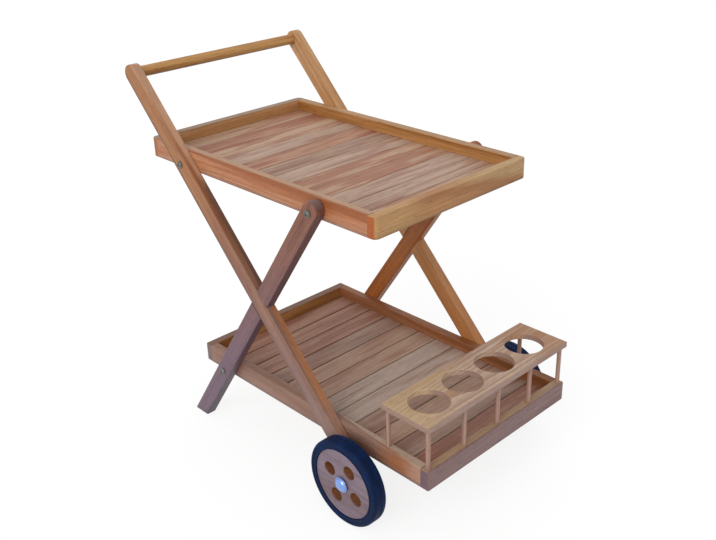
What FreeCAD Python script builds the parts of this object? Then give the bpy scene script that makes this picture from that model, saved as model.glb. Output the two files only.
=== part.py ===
"""Serving trolley: two slatted trays on crossed legs, a bottle rack, a push handle and two wheels.

Millimetres, +Z up. +X points to the wheel end. The origin is on the floor, under the middle of the outline.
The right-hand side is -Y, and each left-hand piece is the right-hand one mirrored.
"""
import FreeCAD
import Part
import Sketcher

import math
import os
import re

SLAT_COUNT = 12
BOTTLE_COUNT = 4
DISC_HOLE_COUNT = 4
HEXAGON_SIDES = 6
FILLET_SHARE = 0.45
TOLERANCE = 1e-4

# Driving sizes: alias, value, what it measures
SIZES = (
    ("tray_length", 760, "outside length of each tray"),
    ("tray_width", 470, "outside width of each tray"),
    ("upper_rim_height", 718, "floor to the rim of the upper tray"),
    ("axle_gap", 45, "axle bolts to the underside of the lower tray"),
    ("upper_tray_setback", 139, "front of the upper tray behind the front of the lower tray"),
    ("rail_height", 47, "height of the tray rails"),
    ("rail_thickness", 22, "thickness of the tray rails"),
    ("rail_edge_radius", 2, "softened edges of the rails"),
    ("upper_corner_radius", 12, "upright corners of the upper tray"),
    ("lower_corner_radius", 4, "upright corners of the lower tray"),
    ("slat_support", 10, "side rail below the slats"),
    ("slat_thickness", 10, "thickness of the slats"),
    ("slat_edge_radius", 1.5, "softened top edges of the slats"),
    ("upper_slat_gap", 2, "gap between the slats of the upper tray"),
    ("lower_slat_gap", 4, "gap between the slats of the lower tray"),
    ("groove_depth", 6, "groove in the side rails that houses the slat ends"),
    ("groove_clearance", 0.3, "slack of a slat in its groove, above it and at each end"),
    ("leg_width", 42, "width of the legs, seen from the side"),
    ("leg_thickness", 26, "thickness of the legs"),
    ("leg_edge_radius", 3, "softened edges of the legs"),
    ("joint_clearance", 0.1, "slack beside each leg in the halving joint"),
    ("short_leg_setback", 160, "top bolt of the short leg behind the front of the upper tray"),
    ("foot_overhang", 15.4, "middle of the foot behind the rear of the lower tray"),
    ("handle_rise", 154, "rim of the upper tray to the axis of the handle bar"),
    ("handle_overhang", 39, "rear of the long legs behind the rear of the upper tray"),
    ("handle_diameter", 26, "diameter of the handle bar"),
    ("tenon_shoulder", 5, "step from the handle bar to its tenons"),
    ("tenon_cover", 8, "wood of the leg beyond a tenon"),
    ("axle_setback", 192, "axle behind the front of the lower tray"),
    ("axle_diameter", 12, "diameter of the bolts that the wheels turn on"),
    ("axle_head_diameter", 22, "hexagon heads of those bolts across their corners"),
    ("axle_head_height", 7.5, "height of those heads"),
    ("wheel_diameter", 206, "diameter of the wheels over the tyre"),
    ("wheel_width", 35, "width of the tyre and length of the bush"),
    ("wheel_play", 0.3, "end play on each side of a wheel"),
    ("tyre_thickness", 20, "tread to the seat of the tyre"),
    ("tyre_shoulder_radius", 7, "rounded shoulders of the tyre"),
    ("disc_recess", 2, "face of a wheel disc behind the side of its tyre"),
    ("disc_edge_radius", 2, "softened edges of the wheel discs"),
    ("disc_hole_diameter", 32, "holes in the wheel discs"),
    ("disc_hole_circle", 89, "pitch circle of those holes"),
    ("disc_hole_angle", 62, "turn of the first hole from the forward direction"),
    ("bush_wall", 4, "wall of the wheel bush"),
    ("running_clearance", 0.05, "radial gap between axle and bush"),
    ("wheel_washer_rim", 9, "axle to the edge of the washers beside the wheels"),
    ("inner_washer_thickness", 2.5, "washer between a leg and its wheel"),
    ("outer_washer_thickness", 1, "washer between a wheel and its hub cap"),
    ("hub_cap_diameter", 36, "diameter of the hub caps"),
    ("hub_cap_rim", 2, "straight rim of the hub caps"),
    ("hub_cap_rise", 7, "height of the dome on that rim"),
    ("hub_cap_wall", 3, "end of an axle bolt to the top of the dome"),
    ("rack_rise", 108, "rim of the lower tray to the top of the bottle plank"),
    ("rack_thickness", 15, "thickness of the plank"),
    ("rack_margin", 21, "wood in front of, behind and outside the fields of the bottle holes"),
    ("rack_edge_radius", 2, "softened edges of the plank and its holes"),
    ("bottle_web", 17, "wood between two bottle holes"),
    ("spindle_diameter", 10, "diameter of the rack spindles"),
    ("spindle_seat", 9, "depth of a spindle in its rail"),
    ("spindle_cover", 6, "wood of the plank above a spindle"),
    ("spindle_inset", 10, "rear spindles in front of the plank's rear edge"),
    ("bolt_diameter", 6, "leg bolts"),
    ("bolt_hole_clearance", 0.3, "radial gap of a bolt in its leg"),
    ("bolt_tip_gap", 2, "end of a bolt short of the end of its insert nut"),
    ("bolt_head_diameter", 13, "heads of the leg bolts"),
    ("bolt_head_height", 4, "height of those heads"),
    ("bolt_crown_diameter", 8, "flat top of those heads"),
    ("socket_diameter", 5, "hexagon socket across its corners"),
    ("socket_depth", 2.5, "depth of that socket"),
    ("bolt_washer_diameter", 18, "washers under the bolt heads"),
    ("bolt_washer_thickness", 1.5, "thickness of those washers"),
    ("counterbore_cover", 1, "head of a sunk bolt below the face of its leg"),
    ("insert_wall", 2, "wall of the insert nuts in the tray rails"),
    ("insert_cover", 2, "wood between an insert nut and the groove"),
    ("upper_bolt_drop", 5, "upper bolts below the middle of their rail"),
    ("lower_bolt_drop", 5, "lower bolts of the short legs below the middle of their rail"),
    ("sunk_bolt_drop", 12, "sunk bolts of the long legs below the middle of their rail"),
    ("dowel_diameter", 8, "dowels in the tray corners"),
    ("dowel_side_depth", 22, "depth of a dowel in the side rail"),
    ("dowel_cover", 8, "wood of the front or rear rail beyond a dowel"),
    ("dowel_low", 10, "lower dowel above the underside of the rail"),
    ("dowel_drop", 5, "top of the upper dowel below the seats of the spindles"),
    ("fit_clearance", 0.05, "radial gap of a glued or pressed piece in its hole"),
    ("hole_relief", 0.5, "spare depth of a blind hole"),
)

# Sizes and places that follow from the driving sizes
RELATIONS = (
    ("overall_length", "upper_tray_setback + tray_length + handle_overhang"),
    ("lower_front_x", "overall_length / 2"),
    ("lower_rear_x", "lower_front_x - tray_length"),
    ("upper_front_x", "lower_front_x - upper_tray_setback"),
    ("upper_rear_x", "upper_front_x - tray_length"),
    ("side_y", "tray_width / 2"),
    ("outside_y", "side_y + leg_thickness"),
    ("axle_x", "lower_front_x - axle_setback"),
    ("axle_z", "wheel_diameter / 2"),
    ("upper_base_z", "upper_rim_height - rail_height"),
    ("lower_base_z", "axle_z + axle_diameter / 2 + axle_gap"),
    ("lower_rim_height", "lower_base_z + rail_height"),
    ("side_rail_length", "tray_length - 2 * rail_thickness"),
    ("groove_top", "slat_support + slat_thickness + groove_clearance"),
    ("groove_floor", "rail_thickness - groove_depth"),
    ("slat_length", "tray_width - 2 * (groove_floor + groove_clearance)"),
    ("upper_slat_pitch", f"(side_rail_length - upper_slat_gap) / {SLAT_COUNT}"),
    ("lower_slat_pitch", f"(side_rail_length - lower_slat_gap) / {SLAT_COUNT}"),
    ("short_top_z", "upper_rim_height - rail_height / 2"),
    ("upper_bolt_z", "short_top_z - upper_bolt_drop"),
    ("lower_bolt_z", "lower_rim_height - rail_height / 2 - lower_bolt_drop"),
    ("sunk_bolt_z", "lower_rim_height - rail_height / 2 - sunk_bolt_drop"),
    ("handle_x", "leg_width / 2 - overall_length / 2"),
    ("handle_z", "upper_rim_height + handle_rise"),
    ("tenon_radius", "handle_diameter / 2 - tenon_shoulder"),
    ("tenon_length", "leg_thickness - tenon_cover"),
    ("foot_x", "lower_rear_x - foot_overhang"),
    ("short_top_x", "upper_front_x - short_leg_setback"),
    ("long_leg_length", "hypot(handle_x - axle_x; handle_z - axle_z)"),
    ("long_leg_angle", "atan2(handle_z - axle_z; handle_x - axle_x)"),
    ("short_leg_length", "hypot(short_top_x - foot_x; short_top_z)"),
    ("short_leg_angle", "atan2(short_top_z; short_top_x - foot_x)"),
    ("crossing_reach", "((foot_x - axle_x) * sin(short_leg_angle) + axle_z * cos(short_leg_angle))"
                       " / sin(short_leg_angle - long_leg_angle)"),
    ("crossing_x", "axle_x + crossing_reach * cos(long_leg_angle)"),
    ("crossing_z", "axle_z + crossing_reach * sin(long_leg_angle)"),
    ("long_upper_x", "axle_x + (upper_bolt_z - axle_z) / tan(long_leg_angle)"),
    ("long_lower_x", "axle_x + (sunk_bolt_z - axle_z) / tan(long_leg_angle)"),
    ("short_upper_x", "foot_x + upper_bolt_z / tan(short_leg_angle)"),
    ("short_lower_x", "foot_x + lower_bolt_z / tan(short_leg_angle)"),
    ("notch_width", "leg_width + 2 * joint_clearance"),
    ("notch_length", "3 * leg_width"),
    ("sunk_y", "outside_y - bolt_washer_thickness - bolt_head_height - counterbore_cover"),
    ("hub_inner_y", "outside_y + inner_washer_thickness + wheel_play"),
    ("wheel_centre_y", "hub_inner_y + wheel_width / 2"),
    ("outer_washer_y", "hub_inner_y + wheel_width + wheel_play"),
    ("cap_y", "outer_washer_y + outer_washer_thickness"),
    ("cap_height", "hub_cap_rim + hub_cap_rise"),
    ("dome_radius", "(pow(hub_cap_diameter / 2; 2) + pow(hub_cap_rise; 2)) / (2 * hub_cap_rise)"),
    ("axle_grip", "cap_height - hub_cap_wall"),
    ("axle_length", "cap_y + axle_grip - side_y"),
    ("disc_radius", "wheel_diameter / 2 - tyre_thickness"),
    ("disc_thickness", "wheel_width - 2 * disc_recess"),
    ("bush_bore_radius", "axle_diameter / 2 + running_clearance"),
    ("bush_radius", "bush_bore_radius + bush_wall"),
    ("bottle_pitch", f"(tray_width - 2 * rack_margin) / {BOTTLE_COUNT}"),
    ("bottle_hole_radius", "(bottle_pitch - bottle_web) / 2"),
    ("rack_width", "2 * (bottle_hole_radius + rack_margin)"),
    ("rack_base_z", "lower_rim_height + rack_rise - rack_thickness"),
    ("rack_inner_x", "lower_front_x - rack_width"),
    ("spindle_front_x", "lower_front_x - rail_thickness / 2"),
    ("spindle_rear_x", "rack_inner_x + spindle_inset"),
    ("spindle_side_y", "side_y - rail_thickness / 2"),
    ("spindle_length", "spindle_seat + rack_rise - spindle_cover"),
    ("insert_radius", "bolt_diameter / 2 + insert_wall"),
    ("insert_length", "groove_floor - insert_cover"),
    ("bolt_tip_y", "side_y - insert_length + bolt_tip_gap"),
    ("dowel_y", "side_y - groove_floor / 2"),
    ("dowel_end_depth", "rail_thickness - dowel_cover"),
    ("dowel_length", "dowel_end_depth + dowel_side_depth"),
    ("dowel_high", "rail_height - spindle_seat - dowel_drop - dowel_diameter / 2"),
)

ALIASES = {entry[0] for entry in SIZES + RELATIONS}
WORD = re.compile(r"[A-Za-z_][A-Za-z_0-9]*")

# Turns that point a piece's own Z axis along X, outwards to -Y, inwards to +Y, or up
TO_FRONT = FreeCAD.Rotation(FreeCAD.Vector(0, 1, 0), 90)
TO_OUTSIDE = FreeCAD.Rotation(FreeCAD.Vector(1, 0, 0), 90)
TO_INSIDE = FreeCAD.Rotation(FreeCAD.Vector(1, 0, 0), -90)
UPRIGHT = FreeCAD.Rotation()

doc = FreeCAD.newDocument("ServingTrolley")
sheet = doc.addObject("Spreadsheet::Sheet", "Sizes")
nodes = {}


def fill_sheet():
    """Write the driving sizes as plain numbers and the relations as formulas."""
    rows = [(alias, str(number), note) for alias, number, note in SIZES]
    rows += [(alias, "=" + rule, "follows from the sizes above") for alias, rule in RELATIONS]
    for row, (alias, content, note) in enumerate(rows, start=1):
        sheet.set(f"A{row}", note)
        sheet.set(f"B{row}", content)
        sheet.setAlias(f"B{row}", alias)
    doc.recompute()


def value(rule):
    """Number that a rule in the sheet's aliases gives."""
    result = sheet.evalExpression(rule)
    return float(getattr(result, "Value", result))


def to_cell(word):
    """Sheet cell for an alias, and any other word as it is."""
    return "Sizes." + word.group() if word.group() in ALIASES else word.group()


def bind(item, rules):
    """Tie properties of an object to rules written in the sheet's aliases."""
    for name, rule in rules.items():
        item.setExpression(name, WORD.sub(to_cell, rule))


def place(item, x, y, z, rotation=UPRIGHT):
    """Give an object a fixed turn and a position tied to the sheet."""
    item.Placement = FreeCAD.Placement(FreeCAD.Vector(value(x), value(y), value(z)), rotation)
    bind(item, {"Placement.Base.x": x, "Placement.Base.y": y, "Placement.Base.z": z})


def place_tilted(item, x, y, z, angle):
    """Give an object a position and a tilt, from forwards to up, that are tied to the sheet."""
    place(item, x, y, z, FreeCAD.Rotation(FreeCAD.Vector(0, -1, 0), value(angle)))
    bind(item, {"Placement.Rotation.Angle": angle})


def register(label, item):
    """Name a finished sub-part."""
    item.Label = label
    nodes[label] = item


# Sketched bodies

def plane_sketch(body, role):
    """Sketch on one of the body's own origin planes."""
    sketch = body.newObject("Sketcher::SketchObject", body.Name + "_sketch")
    plane = next(feature for feature in body.Origin.OriginFeatures if feature.Role == role)
    sketch.AttachmentSupport = [(plane, "")]
    sketch.MapMode = "FlatFace"
    return sketch


def join(sketch, kind, *where):
    """Add a constraint without a dimension."""
    sketch.addConstraint(Sketcher.Constraint(kind, *where))


def measure(sketch, kind, rule, *where):
    """Add a dimension and tie it to the sheet."""
    index = sketch.addConstraint(Sketcher.Constraint(kind, *where, value(rule)))
    bind(sketch, {f"Constraints[{index}]": rule})


def polygon(sketch, corners):
    """Closed outline of straight lines through corners given as pairs of rules."""
    points = [FreeCAD.Vector(value(across), value(up), 0) for across, up in corners]
    ends = points[1:] + points[:1]
    lines = [sketch.addGeometry(Part.LineSegment(start, end)) for start, end in zip(points, ends)]
    for line, after in zip(lines, lines[1:] + lines[:1]):
        join(sketch, "Coincident", line, 2, after, 1)
    for line, (across, up) in zip(lines, corners):
        measure(sketch, "DistanceX", across, line, 1)
        measure(sketch, "DistanceY", up, line, 1)


def rectangle(sketch, width, height):
    """Rectangle with one corner at the sketch's origin."""
    polygon(sketch, (("0", "0"), (width, "0"), (width, height), ("0", height)))


def circle(sketch, across, up, radius):
    """Circle whose centre and radius are rules."""
    centre = FreeCAD.Vector(value(across), value(up), 0)
    index = sketch.addGeometry(Part.Circle(centre, FreeCAD.Vector(0, 0, 1), value(radius)))
    measure(sketch, "DistanceX", across, index, 3)
    measure(sketch, "DistanceY", up, index, 3)
    measure(sketch, "Radius", radius, index)


def pad(body, sketch, length, side_type="One side"):
    """Extrude a sketch from its plane, or to both sides of it."""
    feature = body.newObject("PartDesign::Pad", body.Name + "_pad")
    feature.Profile = sketch
    feature.SideType = side_type
    bind(feature, {"Length": length})
    return feature


def revolve(body, sketch):
    """Turn a profile about the sketch's horizontal axis."""
    feature = body.newObject("PartDesign::Revolution", body.Name + "_turned")
    feature.Profile = sketch
    feature.ReferenceAxis = (sketch, ["H_Axis"])
    return feature


def soften(body, feature, radius, wall, wanted):
    """Round the edges that a test picks, by a radius that stays within a share of the wall."""
    doc.recompute()
    picked = [f"Edge{number}" for number, edge in enumerate(feature.Shape.Edges, start=1) if wanted(edge)]
    fillet = body.newObject("PartDesign::Fillet", body.Name + "_soft")
    fillet.Base = (feature, picked)
    bind(fillet, {"Radius": f"min({radius}; {FILLET_SHARE} * ({wall}))"})
    return fillet


def lies_at(edge, axis, *rules):
    """True where the whole edge lies at one of the given levels along an axis."""
    spots = [getattr(edge.valueAt(step), axis) for step in edge.ParameterRange]
    spots.append(getattr(edge.CenterOfMass, axis))
    return any(all(abs(spot - value(rule)) < TOLERANCE for spot in spots) for rule in rules)


def runs_along(edge, axis):
    """True for a straight edge that is parallel to an axis."""
    return isinstance(edge.Curve, Part.Line) and abs(getattr(edge.Curve.Direction, axis)) > 1 - TOLERANCE


def has_radius(edge, rule):
    """True for a round edge of the given radius."""
    return isinstance(edge.Curve, Part.Circle) and abs(edge.Curve.Radius - value(rule)) < TOLERANCE


# Plain solids, booleans and groups

def cylinder(name, radius, length, x, y, z, rotation):
    """Round bar from a point along the turned Z axis."""
    item = doc.addObject("Part::Cylinder", name)
    bind(item, {"Radius": radius, "Height": length})
    place(item, x, y, z, rotation)
    return item


def ring(name, outer, inner, length, x, y, z, rotation):
    """Washer, bush or insert: a round piece with a bore right through it."""
    item = doc.addObject("Part::Cut", name)
    item.Base = cylinder(name + "_outside", outer, length, x, y, z, rotation)
    item.Tool = cylinder(name + "_bore", inner, length, x, y, z, rotation)
    return item


def group(name, items):
    """Separate solids kept together."""
    item = doc.addObject("Part::Compound", name)
    item.Links = items
    return item


def cut(name, base, tools):
    """Take a set of separate tool solids out of a piece."""
    item = doc.addObject("Part::Cut", name)
    item.Base = base
    item.Tool = group(name + "_tools", tools)
    return item


def mirrored(name, source):
    """The same piece on the other side of the trolley."""
    item = doc.addObject("Part::Mirroring", name)
    item.Source = source
    item.Normal = FreeCAD.Vector(0, 1, 0)
    return item


def register_pair(name, right_item):
    """Name a right-hand piece and its mirrored copy."""
    register(name + "_right", right_item)
    register(name + "_left", mirrored(name + "_left", right_item))


def register_both_sides(name, right_items):
    """Name one node that holds right-hand pieces and their mirrored copies."""
    right_group = group(name + "_right", right_items)
    register(name, group(name, [right_group, mirrored(name + "_left", right_group)]))


# Legs and handle

# Leg bolts: place along X and Z, and the level that the washer seats on. The one behind the wheel is sunk.
BOLTS = {
    "long_upper": ("long_upper_x", "upper_bolt_z", "outside_y"),
    "long_lower": ("long_lower_x", "sunk_bolt_z", "sunk_y"),
    "short_upper": ("short_upper_x", "upper_bolt_z", "outside_y"),
    "short_lower": ("short_lower_x", "lower_bolt_z", "outside_y"),
}


def end_arc(sketch, along, start, end):
    """Half round of the leg's width about a point of its axis."""
    axis = FreeCAD.Vector(0, 0, 1)
    whole = Part.Circle(FreeCAD.Vector(along, 0, 0), axis, value("leg_width / 2"))
    return sketch.addGeometry(Part.ArcOfCircle(whole, start, end))


def leg_outline(sketch, length, foot_shift):
    """Leg along the sketch's X axis, round at its far end, and round or cut along the floor at the near one.

    foot_shift is how far the floor cut moves a corner of the foot along the leg, or "0" for a round end.
    """
    half = value("leg_width / 2")
    reach = value(length)
    shift = value(foot_shift)
    front_foot = FreeCAD.Vector(shift, -half, 0)
    rear_foot = FreeCAD.Vector(-shift, half, 0)
    front = sketch.addGeometry(Part.LineSegment(front_foot, FreeCAD.Vector(reach, -half, 0)))
    rear = sketch.addGeometry(Part.LineSegment(FreeCAD.Vector(reach, half, 0), rear_foot))
    far = end_arc(sketch, reach, -math.pi / 2, math.pi / 2)
    join(sketch, "Tangent", front, 2, far, 1)
    join(sketch, "Tangent", far, 2, rear, 1)
    join(sketch, "Horizontal", front)
    join(sketch, "PointOnObject", far, 3, -1)
    measure(sketch, "DistanceX", length, far, 3)
    measure(sketch, "Radius", "leg_width / 2", far)
    if shift == 0:
        near = end_arc(sketch, 0, math.pi / 2, math.pi * 3 / 2)
        join(sketch, "Tangent", rear, 2, near, 1)
        join(sketch, "Tangent", near, 2, front, 1)
        join(sketch, "Coincident", near, 3, -1, 1)
        return
    floor = sketch.addGeometry(Part.LineSegment(rear_foot, front_foot))
    join(sketch, "Horizontal", rear)
    join(sketch, "Coincident", rear, 2, floor, 1)
    join(sketch, "Coincident", floor, 2, front, 1)
    measure(sketch, "DistanceX", foot_shift, front, 1)
    measure(sketch, "DistanceX", f"-({foot_shift})", rear, 2)


def leg_blank(name, x, z, length, angle, foot_shift):
    """Right-hand leg before it is notched and drilled, tilted about its lower end."""
    body = doc.addObject("PartDesign::Body", name)
    sketch = plane_sketch(body, "XZ_Plane")
    leg_outline(sketch, length, foot_shift)
    feature = pad(body, sketch, "leg_thickness")

    def face_edge(edge):
        along = runs_along(edge, "x") or has_radius(edge, "leg_width / 2")
        return along and lies_at(edge, "y", "0", "-leg_thickness")

    soften(body, feature, "leg_edge_radius", "leg_thickness", face_edge)
    place_tilted(body, x, "-side_y", z, angle)
    return body


def notch(name, y, angle):
    """Room for the other leg of the halving joint: a bar at that leg's tilt, about the crossing."""
    item = doc.addObject("Part::Box", name)
    bind(item, {"Length": "notch_length", "Width": "leg_thickness", "Height": "notch_width"})
    x = f"crossing_x - notch_length / 2 * cos({angle}) + notch_width / 2 * sin({angle})"
    z = f"crossing_z - notch_length / 2 * sin({angle}) - notch_width / 2 * cos({angle})"
    place_tilted(item, x, y, z, angle)
    return item


def leg_hole(name, radius, x, z):
    """Hole right through a right-hand leg."""
    length = "leg_thickness + 2 * hole_relief"
    return cylinder(name, radius, length, x, "-outside_y - hole_relief", z, TO_INSIDE)


def bolt_hole(name):
    """Hole for a leg bolt, with a counterbore down to the washer's seat."""
    x, z, seat = BOLTS[name]
    hole = doc.addObject("Part::Fuse", name + "_bolt_hole")
    hole.Base = leg_hole(name + "_leg_hole", "bolt_diameter / 2 + bolt_hole_clearance", x, z)
    hole.Tool = cylinder(name + "_counterbore", "bolt_washer_diameter / 2 + bolt_hole_clearance",
                         f"outside_y + hole_relief - {seat}", x, f"-{seat}", z, TO_OUTSIDE)
    return hole


def legs():
    """Crossed legs: outside the long leg runs through the halving joint, and inside the short one does."""
    long_blank = leg_blank("long_leg_blank", "axle_x", "axle_z", "long_leg_length", "long_leg_angle", "0")
    tenon_hole = cylinder("tenon_hole", "tenon_radius + fit_clearance", "tenon_length + 2 * hole_relief",
                          "handle_x", "-side_y - tenon_length - hole_relief", "handle_z", TO_INSIDE)
    long_tools = [
        notch("long_leg_notch", "-side_y - leg_thickness / 2", "short_leg_angle"),
        leg_hole("axle_hole", "axle_diameter / 2 + fit_clearance", "axle_x", "axle_z"),
        tenon_hole,
        bolt_hole("long_upper"),
        bolt_hole("long_lower"),
    ]
    register_pair("long_leg", cut("long_leg", long_blank, long_tools))

    short_blank = leg_blank("short_leg_blank", "foot_x", "0", "short_leg_length", "short_leg_angle",
                            "leg_width / 2 / tan(short_leg_angle)")
    short_tools = [
        notch("short_leg_notch", "-outside_y - leg_thickness / 2", "long_leg_angle"),
        bolt_hole("short_upper"),
        bolt_hole("short_lower"),
    ]
    register_pair("short_leg", cut("short_leg", short_blank, short_tools))


def handle():
    """Round bar between the long legs, with a smaller tenon in each of them."""
    body = doc.addObject("PartDesign::Body", "handle_bar")
    sketch = plane_sketch(body, "YZ_Plane")
    end = "side_y + tenon_length"
    polygon(sketch, (
        (f"-({end})", "0"), (end, "0"), (end, "tenon_radius"), ("side_y", "tenon_radius"),
        ("side_y", "handle_diameter / 2"), ("-side_y", "handle_diameter / 2"),
        ("-side_y", "tenon_radius"), (f"-({end})", "tenon_radius"),
    ))
    revolve(body, sketch)
    place(body, "handle_x", "0", "handle_z")
    register("handle_bar", body)


# Trays

def side_rail_blank(level):
    """Right-hand rail with the groove for the slats along its inner face."""
    body = doc.addObject("PartDesign::Body", level + "_side_rail_blank")
    sketch = plane_sketch(body, "YZ_Plane")
    polygon(sketch, (
        ("0", "0"), ("rail_thickness", "0"), ("rail_thickness", "slat_support"),
        ("groove_floor", "slat_support"), ("groove_floor", "groove_top"), ("rail_thickness", "groove_top"),
        ("rail_thickness", "rail_height"), ("0", "rail_height"),
    ))
    feature = pad(body, sketch, "side_rail_length")
    soften(body, feature, "rail_edge_radius", "min(rail_thickness; slat_support)",
           lambda edge: runs_along(edge, "x") and lies_at(edge, "z", "0", "rail_height"))
    place(body, level + "_rear_x + rail_thickness", "-side_y", level + "_base_z")
    return body


def end_rail_blank(level, end):
    """Front or rear rail over the whole width, with rounded upright corners on its outer face."""
    body = doc.addObject("PartDesign::Body", f"{level}_{end}_rail_blank")
    sketch = plane_sketch(body, "XZ_Plane")
    rectangle(sketch, "rail_thickness", "rail_height")
    feature = pad(body, sketch, "tray_width", "Symmetric")
    outer_face = "rail_thickness" if end == "front" else "0"
    corners = soften(body, feature, level + "_corner_radius", "2 * rail_thickness",
                     lambda edge: runs_along(edge, "z") and lies_at(edge, "x", outer_face))
    soften(body, corners, "rail_edge_radius", "rail_thickness",
           lambda edge: lies_at(edge, "z", "0", "rail_height"))
    x = f"{level}_front_x - rail_thickness" if end == "front" else level + "_rear_x"
    place(body, x, "0", level + "_base_z")
    return body


def slats(level):
    """Boards across the tray, with even gaps between them and at both ends."""
    pitch = level + "_slat_pitch"
    gap = level + "_slat_gap"
    for number in range(1, SLAT_COUNT + 1):
        name = f"{level}_slat_{number:02d}"
        body = doc.addObject("PartDesign::Body", name)
        sketch = plane_sketch(body, "XZ_Plane")
        rectangle(sketch, f"{pitch} - {gap}", "slat_thickness")
        feature = pad(body, sketch, "slat_length", "Symmetric")
        soften(body, feature, "slat_edge_radius", "slat_thickness",
               lambda edge: runs_along(edge, "y") and lies_at(edge, "z", "slat_thickness"))
        place(body, f"{level}_rear_x + rail_thickness + {gap} + {number - 1} * {pitch}", "0",
              level + "_base_z + slat_support")
        register(name, body)


def dowel_places(level, end):
    """Start and heights of the right-hand dowels of one tray corner."""
    start = f"{level}_rear_x + rail_thickness - dowel_end_depth"
    if end == "front":
        start = f"{level}_front_x - rail_thickness - dowel_side_depth"
    return [(start, f"{level}_base_z + {height}") for height in ("dowel_low", "dowel_high")]


def corner_dowels():
    """Two dowels in each corner of both trays."""
    right_dowels = []
    for level in ("upper", "lower"):
        for end in ("front", "rear"):
            for x, z in dowel_places(level, end):
                right_dowels.append(cylinder(f"{level}_{end}_dowel", "dowel_diameter / 2", "dowel_length",
                                             x, "-dowel_y", z, TO_FRONT))
    register_both_sides("corner_dowels", right_dowels)


def dowel_holes(level, end):
    """Holes for the right-hand dowels of one corner, through both rails that meet there."""
    name = f"{level}_{end}_dowel_hole"
    holes = []
    for x, z in dowel_places(level, end):
        holes.append(cylinder(name, "dowel_diameter / 2 + fit_clearance", "dowel_length + 2 * hole_relief",
                              f"{x} - hole_relief", "-dowel_y", z, TO_FRONT))
    return holes


def insert_hole(name):
    """Blind hole for an insert nut in the outer face of a right-hand rail."""
    x, z, _ = BOLTS[name]
    return cylinder(name + "_rail_hole", "insert_radius + fit_clearance", "insert_length + 2 * hole_relief",
                    x, "-side_y - hole_relief", z, TO_INSIDE)


def tray(level, side_tools, front_tools):
    """Four rails and the slats, with extra holes for what stands on the rails."""
    front_holes = dowel_holes(level, "front")
    rear_holes = dowel_holes(level, "rear")
    inserts = [insert_hole(f"{leg}_{level}") for leg in ("long", "short")]
    side_holes = front_holes + rear_holes + inserts + side_tools
    register_pair(level + "_side_rail", cut(level + "_side_rail", side_rail_blank(level), side_holes))
    for end, holes, extra in (("front", front_holes, front_tools), ("rear", rear_holes, [])):
        name = f"{level}_{end}_rail"
        right_holes = group(name + "_right_holes", holes)
        tools = [right_holes, mirrored(name + "_left_holes", right_holes)] + extra
        register(name, cut(name, end_rail_blank(level, end), tools))
    slats(level)


# Bottle rack

FRONT_SPINDLES = [("spindle_front_x", f"{share} * spindle_side_y") for share in (-1, -0.5, 0, 0.5, 1)]
REAR_SPINDLES = [("spindle_rear_x", "-spindle_side_y"), ("spindle_rear_x", "spindle_side_y")]


def spindle_bore(x, y):
    """Seat of a spindle in its rail and in the plank."""
    radius = "spindle_diameter / 2 + fit_clearance"
    length = "spindle_length + 2 * hole_relief"
    base = "lower_rim_height - spindle_seat - hole_relief"
    return cylinder("spindle_bore", radius, length, x, y, base, UPRIGHT)


def bottle_rack(bores):
    """Plank with a row of bottle holes, on spindles that stand on the lower tray."""
    body = doc.addObject("PartDesign::Body", "bottle_plank_blank")
    sketch = plane_sketch(body, "XY_Plane")
    polygon(sketch, (("0", "-side_y"), ("rack_width", "-side_y"), ("rack_width", "side_y"), ("0", "side_y")))
    for index in range(BOTTLE_COUNT):
        steps = index - (BOTTLE_COUNT - 1) / 2
        circle(sketch, "rack_width / 2", f"{steps} * bottle_pitch", "bottle_hole_radius")
    feature = pad(body, sketch, "rack_thickness")
    soften(body, feature, "rack_edge_radius", "min(rack_thickness; bottle_web)",
           lambda edge: lies_at(edge, "z", "0", "rack_thickness"))
    place(body, "rack_inner_x", "0", "rack_base_z")
    register("bottle_plank", cut("bottle_plank", body, bores))
    for number, (x, y) in enumerate(FRONT_SPINDLES + REAR_SPINDLES, start=1):
        name = f"rack_spindle_{number}"
        register(name, cylinder(name, "spindle_diameter / 2", "spindle_length",
                                x, y, "lower_rim_height - spindle_seat", UPRIGHT))


# Wheels and their axle bolts

def tyre():
    """Rubber ring with rounded shoulders, pressed on the wheel disc."""
    body = doc.addObject("PartDesign::Body", "tyre")
    sketch = plane_sketch(body, "YZ_Plane")
    seat = "disc_radius + fit_clearance"
    tread = "wheel_diameter / 2"
    side = "wheel_width / 2"
    polygon(sketch, ((f"-{side}", seat), (side, seat), (side, tread), (f"-{side}", tread)))
    soften(body, revolve(body, sketch), "tyre_shoulder_radius", "min(wheel_width; 2 * tyre_thickness)",
           lambda edge: has_radius(edge, tread))
    place(body, "axle_x", "-wheel_centre_y", "axle_z")
    register_pair("tyre", body)


def wheel_disc():
    """Wooden disc with a ring of round holes and a bore for the bush."""
    body = doc.addObject("PartDesign::Body", "wheel_disc")
    sketch = plane_sketch(body, "XZ_Plane")
    bore = "bush_radius + fit_clearance"
    circle(sketch, "0", "0", "disc_radius")
    circle(sketch, "0", "0", bore)
    for index in range(DISC_HOLE_COUNT):
        turn = f"disc_hole_angle + {index} * {360 // DISC_HOLE_COUNT}"
        circle(sketch, f"disc_hole_circle / 2 * cos({turn})", f"disc_hole_circle / 2 * sin({turn})",
               "disc_hole_diameter / 2")
    feature = pad(body, sketch, "disc_thickness", "Symmetric")
    soften(body, feature, "disc_edge_radius", "disc_thickness",
           lambda edge: lies_at(edge, "y", "disc_thickness / 2", "-disc_thickness / 2")
           and not has_radius(edge, bore))
    place(body, "axle_x", "-wheel_centre_y", "axle_z")
    register_pair("wheel_disc", body)


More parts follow.
